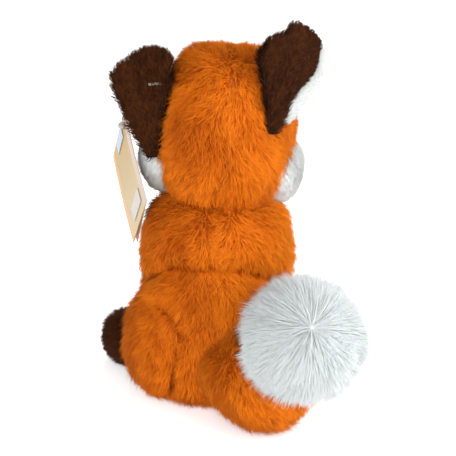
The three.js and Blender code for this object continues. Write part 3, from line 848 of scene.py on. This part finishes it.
# Ears
# Places along the axis, and how far the two edges of a back or a lining lie from it there
BACK_EDGES = {
    "left": ((0, 4, 10, 16, 22, 28, 34, 40, 46, 52, 56, 60, 63),
             (1, 2, 4.5, 6.5, 8.5, 11, 13.5, 15, 16.5, 17.5, 18, 16, 8),
             (5, 6.5, 8.5, 11, 13, 14.5, 16.5, 18.5, 19.5, 20, 14, 6, 1)),
    "right": ((0, 4, 10, 16, 22, 28, 34, 40, 46, 52, 57, 60, 63),
              (2, 4, 5.5, 6, 8, 11.5, 15.5, 19, 19.5, 20, 20, 18, 12),
              (2, 3, 4, 6, 8.5, 11, 14, 17.5, 18, 13.5, 3, 0, -3)),
}
LINING_EDGES = ((0, 4, 10, 16, 22, 28, 34, 40, 44, 48, 53),
                (3, 6, 9.5, 12.5, 15, 16.5, 17.5, 18, 17, 14, 6),
                (3, 5, 8, 10, 12, 13, 14, 14, 13, 11, 4))


def trimmed(shape, drop, edges):
    """A shape with its two edges at given places along it."""
    p, faces = shaped(shape, -drop, None, None, 72, 56)
    q = shape.local(p)
    up = np.clip((q[:, 2] - drop) / (shape.length - 2 * drop), 0.0005, 0.9995)
    reach = (shape.width / 2 - drop) * (2 * np.sqrt(up * (1 - up))) ** shape.fullness
    share = np.clip(q[:, 0] / (reach * (1 + shape.taper * (up - 0.5))), -1, 1)
    low, high = (np.interp(q[:, 2], edges[0], edges[k]) for k in (1, 2))
    q[:, 0] = (high - low) / 2 + share * (high + low) / 2
    return shape.place(q), faces


# The fastener's bar, in the left ear's own axes
BAR_ACROSS, BAR_UP, BAR_HALF = -8.5, 39.5, 4.2


def ear_boost(p):
    """Longer pile over the ends of the fastener's bar, shorter below its middle and by the right lining."""
    q, w = ears["left"].local(p), ears["right"].local(p)
    on_ear = np.abs(q[:, 1]) < 9
    ends = bump(np.abs(q[:, 0] - BAR_ACROSS) - BAR_HALF, 2.2) * bump(q[:, 2] - BAR_UP, 4.5) * on_ear
    below = bump(q[:, 0] - BAR_ACROSS, 2.6) * bump(q[:, 2] - BAR_UP + 3.5, 4) * on_ear
    by_lining = smooth(-w[:, 0], 3, 11) * (np.abs(w[:, 1] - 3) < 12) * (p[:, 0] < 0)
    return 0.75 * ends - 0.85 * below - 0.62 * by_lining


for side, sign in SIDES.items():
    body = f"ear_{side}"
    shape, lining = ears[side], linings[side]
    back = trimmed(shape, DROP["ear"], BACK_EDGES[side])
    thin = DROP["ear"] * 0.6
    front = shaped(lining, -thin, None, None, 72, 56) if sign > 0 else trimmed(lining, thin, LINING_EDGES)
    clear = swept(head, f"ear_{side}_fold")
    skin(f"ear_{side}_back", "brown", back, clear, body)
    apart = less(trimmed(shape, DROP["ear"] - SEAM, BACK_EDGES[side]))
    skin(f"ear_{side}_lining", "white", front, [apart, *clear], body)

    def upward(p, n, shape=shape):
        tip_ward = np.tile(shape.frame[:, 2], (len(p), 1))
        return tip_ward + 0.5 * (p - shape.root - tip_ward * 30) / 30
    pile(f"ear_{side}_back", "brown", *whole(coats(
        back, upward, LENGTH["ear"], [(head, -3.2), (lining, -SEAM)],
        top=1.6, under=1.6, rise=(0.62, 0.4), boost=ear_boost)))
    pile(f"ear_{side}_lining", "white", *whole(coats(
        front, upward, LENGTH["lining"], [(head, -3.2), (shape, -REACH["ear"])],
        top=1.5, under=1.5, thick=0.42, rise=(0.7, 0.4))))

# Legs
for side, sign in SIDES.items():
    body, joint = f"leg_{side}", f"leg_{side}_spread"
    shape, lower = haunches[side], feet[side]
    clear = swept(torso, joint)
    out = shaped(shape, -DROP["limb"], limb_relief(shape, 3), DROP["limb"], 110, 76)
    inner = shaped(shape, -DROP["limb"] - WALL, None, DROP["limb"] + WALL, 64, 44)
    room = shaped(lower, -DROP["foot"] - WALL, None, DROP["foot"] + WALL, 48, 32)
    skin(f"haunch_{side}", "orange", out, [less(inner), less(room), *clear], body)
    f_out = shaped(lower, -DROP["foot"], limb_relief(lower, 4), DROP["foot"], 80, 56)
    apart = less(shaped(shape, -DROP["limb"] + SEAM, None, 0, 64, 44))
    skin(f"foot_{side}", "brown", f_out, [less(room), apart], body)
    wool, toe = (shaped(part, -drop - WALL - FIBRE_GAP, None, drop + WALL + FIBRE_DROP, *steps)
                 for part, drop, steps in ((shape, DROP["limb"], (56, 40)), (lower, DROP["foot"], (48, 32))))
    filled(f"leg_filling_{side}", wool, [plus(toe), *swept(torso, joint, SWING + FIBRE_GAP)], body)

    def backward(p, n, sign=sign):
        return np.tile((0.15 * sign, 0.25, -1.0), (len(p), 1))
    around = [(torso, -1.5), (lower, -3.2), (tail, -REACH["limb"]), (ball, -REACH["ball"]), *ARMS]
    # The haunches' pile is painted darker all over: painted shade.
    pile(f"haunch_{side}", "orange", *whole(coats(
        out, backward, LENGTH["haunch"], around, seed=31, tone=lambda at: np.full(len(at), -0.2))))

    def to_toe(p, n, lower=lower):
        return np.tile(lower.frame[:, 2], (len(p), 1)) + np.array((0, 0, -0.5))
    pile(f"foot_{side}", "brown", *whole(coats(
        f_out, to_toe, LENGTH["foot"], [(shape, -4.0), (torso, -4)], top=1.3, under=1.5)))

# Arms
CUFF_SHARE = 0.68
for side in SIDES:
    body, joint = f"arm_{side}", f"arm_{side}_lift"
    shape = arms[side]
    drop = DROP["arm"]
    cuff = shape.length * CUFF_SHARE
    clear = swept(torso, joint) + swung(haunches[side], f"leg_{side}_spread", 1)
    out = shaped(shape, -drop, limb_relief(shape, 5), None, 80, 60)
    inner = shaped(shape, -drop - WALL, None, None, 48, 36)
    for node, colour, low, high in ((f"sleeve_{side}", "orange", -FAR / 2, cuff - SEAM / 2),
                                    (f"paw_{side}", "brown", cuff + SEAM / 2, FAR / 2)):
        kept = block((-FAR / 2, -FAR / 2, low), (FAR / 2, FAR / 2, high), shape.frame, shape.root)
        skin(node, colour, out, [less(inner), within(kept), *clear], body)
    filled(f"arm_filling_{side}", shaped(shape, -drop - WALL - FIBRE_GAP, None, None, 40, 30), clear, body)

    def to_paw(p, n, shape=shape):
        return np.tile(shape.frame[:, 2], (len(p), 1)) + np.array((0, 0, -0.3))
    sleeve = coats(out, to_paw, LENGTH["arm"], [(torso, -1.5), (haunches[side], -4), (head, -4)], seed=41)
    for node, colour, sense in ((f"sleeve_{side}", "orange", 1), (f"paw_{side}", "brown", -1)):
        pile(node, colour, *[(s, (cuff - shape.local(at)[:, 2]) * sense > 0) for s, at in sleeve])

# Tail
drop = DROP["limb"]
out = shaped(tail, -drop, limb_relief(tail, 6), drop, 110, 76)
inner = shaped(tail, -drop - WALL, None, drop + WALL, 64, 44)
b_drop = DROP["ball"]
b_out = shaped(ball, -b_drop, None, None, 96, 64)
b_in = ball.mesh(-b_drop - WALL, 64, 44)
clear = swept(torso, "tail_sway")
for side in SIDES:
    clear += swung(haunches[side], "tail_sway", -1)
skin("tail_root", "orange", out, [less(inner), less(ball.mesh(-b_drop + SEAM, 64, 44)), *clear], "tail")
skin("tail_ball", "white", b_out, [less(b_in), less(tail.mesh(-drop - WALL, 64, 44))], "tail")
filled("tail_filling", shaped(tail, -drop - WALL - FIBRE_GAP, None, drop + WALL + FIBRE_DROP, 56, 40),
       [plus(ball.mesh(-b_drop - WALL - FIBRE_GAP, 56, 40)), *clear], "tail")


def flow_tail(p, n):
    return np.tile((-0.75, 0.25, -0.65), (len(p), 1))


around = [(torso, -1.5), (haunches["left"], -3), (haunches["right"], -3), (ball, -b_drop)]
pile("tail_root", "orange", *whole(coats(out, flow_tail, LENGTH["tail"], around, seed=51)))
# Where the ball's pile spreads from
WHORL = unit((-0.106, 0.81, 0.585))


def flow_ball(p, n):
    return n - WHORL + np.array((0, 0, -0.10))


around = [(torso, -3.0), (tail, -4.4), (haunches["right"], -4)]
ball_coats = coats(b_out, flow_ball, LENGTH["ball"], around, top=3.0, under=4.2, thick=0.36, clump=1.1,
                   rise=(0.66, 0.34), gather=0.06, wild=0.12, turn=0.15, seed=61, curl=0.12)
# In three slices across, since one mesh would be too large
across = [(s, at[:, 0] - ball_middle[0]) for s, at in ball_coats]
for part, low, high in (("pile", 9, BALL), ("whorl", -9, 9), ("fringe", -BALL, -9)):
    pile("tail_ball", "ball", *[(s, (x >= low) & (x < high)) for s, x in across], part=part)

# Eyes and nose
GLOSS, shader = base_material("black_glass", 0.06, Coat_Weight=0.6, Coat_Roughness=0.03)
nodes, links = tree(GLOSS)
where = nodes.new("ShaderNodeTexCoord")
grain = nodes.new("ShaderNodeTexNoise")
grain.inputs["Scale"].default_value = 220
links.new(where.outputs["Object"], grain.inputs["Vector"])
tint = ramp(nodes, [(0.35, (0.006, 0.004, 0.003)), (0.7, (0.016, 0.010, 0.007))])
links.new(grain.outputs["Fac"], tint.inputs["Fac"])
links.new(tint.outputs["Color"], shader.inputs["Base Color"])


EYE = dict(width=12, height=12, bulge=5.2)
EYE_ACROSS, EYE_UP = 18, 2
NOSE = dict(width=13, height=9.5, bulge=7)
STEM, STEM_LENGTH = 4, 5.5


def dome(node, place, width, height, bulge):
    """A glossy dome on a stem that goes through the skin."""
    bend = np.linspace(0, math.pi / 2, 20)[:-1]
    r = [0, STEM / 2, STEM / 2, STEM / 2 + 0.01, *(width / 2 * np.cos(bend)), 0]
    z = [-STEM_LENGTH, -STEM_LENGTH, -0.4, 0, *(bulge * np.sin(bend)), bulge]
    p, faces = lathe(np.array(r), np.array(z), 48)
    p[:, 1] *= height / width
    turn, at = place
    o = linked(f"{node}_gloss", mesh_of(node, p @ turn.T + at, faces), GLOSS)
    o.data.shade_smooth()
    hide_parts(node)
    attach(o, "head")


def on_head(x, z):
    """A point on the front of the head, and the way out of it."""
    a, b, c = HALF
    y = -b * math.sqrt(1 - (x / a) ** 2 - (z / c) ** 2)
    return np.array((x, y, z)), unit((x / a ** 2, y / b ** 2, z / c ** 2))


for side, sign in SIDES.items():
    point, out = on_head(sign * EYE_ACROSS, EYE_UP)
    dome(f"eye_{side}", (axes(HEAD_TURN @ out, (1, 0, 0)), in_head(point + out * SEAM)), **EYE)
out = unit(MUZZLE_LEAN)
snout = np.array(MUZZLE_SHARES) * HALF + out * (muzzle.length + SEAM)
dome("nose", (axes(HEAD_TURN @ out, (1, 0, 0)), in_head(snout)), **NOSE)

# Hang tag, fastener and washers
TAG_LONG, TAG_SHORT, TAG_WALL = 65, 55, 0.6
# Degrees: the way the card faces, its slant, and how far its leaves stand apart
TAG_HEADING, TAG_SLANT, TAG_SPREAD = 19.5, 47.3, 2.5
# The hole's diameter, its distance from both edges, and half the length of the tool that cuts it
TAG_HOLE, TAG_HOLE_INSET, PUNCH = 4.4, 7, 30
# Where the label and the sticker lie: across, and down the card
LABEL_SPAN = (10.5, 36.5), (50, 59.5)
STICKER_SPAN = (15.3, 35.8), (1.2, 10.2)
PAPER_WALL = 0.3
tag_out = np.array(Matrix.Rotation(math.radians(TAG_HEADING), 3, "Z")) @ np.array((1.0, 0, 0))
tag_down = np.array(Matrix.Rotation(math.radians(TAG_SLANT), 3, Vector(tag_out))) @ np.array((0, 0, -1.0))
tag_axes = np.column_stack((np.cross(tag_down, tag_out), tag_down, tag_out))
tag_corner = np.array((57.4, -25.6, 169.8))


def tag_place(q):
    """Points across, down and out of the card, which is bowed a little, to the frame."""
    q = np.array(q, float)
    q[:, 2] += 0.5 * np.sin(np.pi * np.clip(q[:, 1] / TAG_LONG, 0, 1)) - 0.4 * (q[:, 0] / TAG_SHORT) ** 2
    return q @ tag_axes.T + tag_corner


def panel(across, down, out, steps=14):
    """A closed thin plate, cut into a grid so that it can bow."""
    u, v = np.meshgrid(np.linspace(*across, steps), np.linspace(*down, steps), indexing="ij")
    top = np.column_stack((u.ravel(), v.ravel(), np.full(u.size, out[1])))
    bottom = top - (0, 0, out[1] - out[0])
    at = np.arange(steps * steps).reshape(steps, steps)
    quads = [(at[i, j], at[i + 1, j], at[i + 1, j + 1], at[i, j + 1])
             for i in range(steps - 1) for j in range(steps - 1)]
    rim = np.concatenate((at[:-1, 0], at[-1, :-1], at[:0:-1, -1], at[0, :0:-1]))
    n = steps * steps
    faces = quads + [tuple(i + n for i in f[::-1]) for f in quads]
    faces += [(a + n, b + n, b, a) for a, b in zip(rim, np.roll(rim, -1))]
    return np.vstack((top, bottom)), faces


def card_material():
    """Bare printed card: warm yellow fading to cream, with a peach edge and a pale fold."""
    m, shader = base_material("tag_print", 0.42, Specular_IOR_Level=0.4)
    nodes, links = tree(m)
    where = nodes.new("ShaderNodeTexCoord")

    def along(axis, low, high, wobble=0.0):
        """How far a place on the card lies from low to high millimetres along an axis, 0 to 1."""
        dot = nodes.new("ShaderNodeVectorMath")
        dot.operation = "DOT_PRODUCT"
        dot.inputs[1].default_value = axis
        links.new(where.outputs["Object"], dot.inputs[0])
        start = float(tag_corner @ axis) * MM
        span = nodes.new("ShaderNodeMapRange")
        span.inputs["From Min"].default_value = start + low * MM
        span.inputs["From Max"].default_value = start + high * MM
        span.interpolation_type = "SMOOTHSTEP"
        links.new(dot.outputs["Value"], span.inputs["Value"])
        if not wobble:
            return span.outputs["Result"]
        cloud = nodes.new("ShaderNodeTexNoise")
        cloud.inputs["Scale"].default_value = 38
        links.new(where.outputs["Object"], cloud.inputs["Vector"])
        mixed = nodes.new("ShaderNodeMix")
        mixed.inputs["Factor"].default_value = wobble
        links.new(span.outputs["Result"], mixed.inputs["A"])
        links.new(cloud.outputs["Fac"], mixed.inputs["B"])
        return mixed.outputs["Result"]

    def layer(under, share, colour):
        mix = nodes.new("ShaderNodeMix")
        mix.data_type = "RGBA"
        links.new(share, mix.inputs["Factor"])
        links.new(under, mix.inputs["A"])
        mix.inputs["B"].default_value = (*colour, 1)
        return mix.outputs["Result"]

    tint = ramp(nodes, [(0.1, (0.42, 0.26, 0.06)), (0.5, (0.45, 0.32, 0.13)), (0.9, (0.52, 0.39, 0.21))])
    links.new(along(tag_axes[:, 1], 0, TAG_LONG, 0.35), tint.inputs["Fac"])
    peach = along(tag_axes[:, 0], TAG_SHORT - 9, TAG_SHORT - 1)
    colour = layer(tint.outputs["Color"], peach, (0.72, 0.33, 0.13))
    colour = layer(colour, along(tag_axes[:, 0], 9, 7), (0.52, 0.40, 0.33))
    links.new(colour, shader.inputs["Base Color"])
    return m


CARD = card_material()
PAPER = cloth_material("tag_paper", (0.48, 0.53, 0.59), (0.54, 0.59, 0.65), scale=600.0, roughness=0.55)
LABEL = cloth_material("tag_label_paper", (0.52, 0.49, 0.45), (0.62, 0.59, 0.55), scale=600.0, roughness=0.6)
PLASTIC = cloth_material("clear_plastic", (0.34, 0.33, 0.31), (0.44, 0.43, 0.41), scale=300.0, roughness=0.3)
WASHER = cloth_material("washer_plastic", (0.72, 0.71, 0.68), (0.82, 0.81, 0.78), scale=300.0, roughness=0.5)


def leaf(turn_back):
    """One leaf of the card, turned back about its fold."""
    p, faces = panel((0, TAG_SHORT), (0, TAG_LONG), (-TAG_WALL / 2, TAG_WALL / 2))
    fold = np.array(Matrix.Rotation(math.radians(turn_back), 3, "Y"))
    return tag_place(p @ fold.T), faces


p, faces = lathe(np.array((0, 1, 1, 0)) * TAG_HOLE / 2, np.array((-1, -1, 1, 1)) * PUNCH, 32)
hole = (p + (TAG_HOLE_INSET, TAG_HOLE_INSET, 0)) @ tag_axes.T + tag_corner, faces
card = carve("tag_card_print", leaf(0), [plus(leaf(TAG_SPREAD)), less(hole)], CARD, smooth_faces=False)
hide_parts("tag_card")
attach(card, "tag")
paper_at = TAG_WALL / 2 + SEAM
for node, span, paper in (("tag_label", LABEL_SPAN, LABEL), ("tag_sticker", STICKER_SPAN, PAPER)):
    p, faces = panel(*span, (paper_at, paper_at + PAPER_WALL))
    o = linked(f"{node}_blank", mesh_of(node, tag_place(p), faces), paper)
    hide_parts(node)
    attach(o, "tag")
for node, o in frame["nodes"].items():
    if "washer" in node or node == "tag_fastener":
        o.data.materials.clear()
        o.data.materials.append(WASHER if "washer" in node else PLASTIC)

# Camera, floor and light
scene = bpy.context.scene
# The photograph's view; the distance is in metres and the rise in degrees
VIEW_TARGET, VIEW_DISTANCE, VIEW_RISE = (-6.8, 0, 101), 0.65, 20
FOCAL, SENSOR = 82.77, 36
target = np.array(VIEW_TARGET) * MM
elevation = math.radians(VIEW_RISE)
back = Vector((0, math.cos(elevation), math.sin(elevation)))
cam = bpy.data.objects.new("camera", bpy.data.cameras.new("camera"))
scene.collection.objects.link(cam)
cam.location = Vector(target) + back * VIEW_DISTANCE
cam.rotation_euler = back.to_track_quat("Z", "Y").to_euler()
cam.data.lens = FOCAL
cam.data.sensor_width = SENSOR
scene.camera = cam

# The sweep glows a little, as a light table does
floor_m, _ = base_material("floor", 0.9, Base_Color=(0.85, 0.85, 0.85, 1), Emission_Color=(1, 1, 1, 1),
                           Emission_Strength=0.4)
FLOOR = 9000
corners = [(x * FLOOR, y * FLOOR, 0) for x, y in ((-1, -1), (1, -1), (1, 1), (-1, 1))]
floor = linked("floor", mesh_of("floor", corners, [(0, 1, 2, 3)]), floor_m)
world = bpy.data.worlds.new("studio")
world.use_nodes = True
world.node_tree.nodes["Background"].inputs["Color"].default_value = (1, 1, 1, 1)
world.node_tree.nodes["Background"].inputs["Strength"].default_value = 0.7
scene.world = world
scene.view_settings.view_transform = "Standard"


LAMP_AIM = Vector((0, 0, 0.1))


def lamp(name, at, size, power):
    data = bpy.data.lights.new(name, "AREA")
    data.shape, data.size, data.energy = "DISK", size, power
    o = bpy.data.objects.new(name, data)
    scene.collection.objects.link(o)
    o.location = at
    o.rotation_euler = (Vector(at) - LAMP_AIM).to_track_quat("Z", "Y").to_euler()


lamp("key", (-1.25, 0.85, 0.75), 1.3, 16)
lamp("fill", (0.25, 1.75, 1.0), 1.6, 25)
lamp("front", (-0.3, -1.4, 1.2), 1.2, 22)
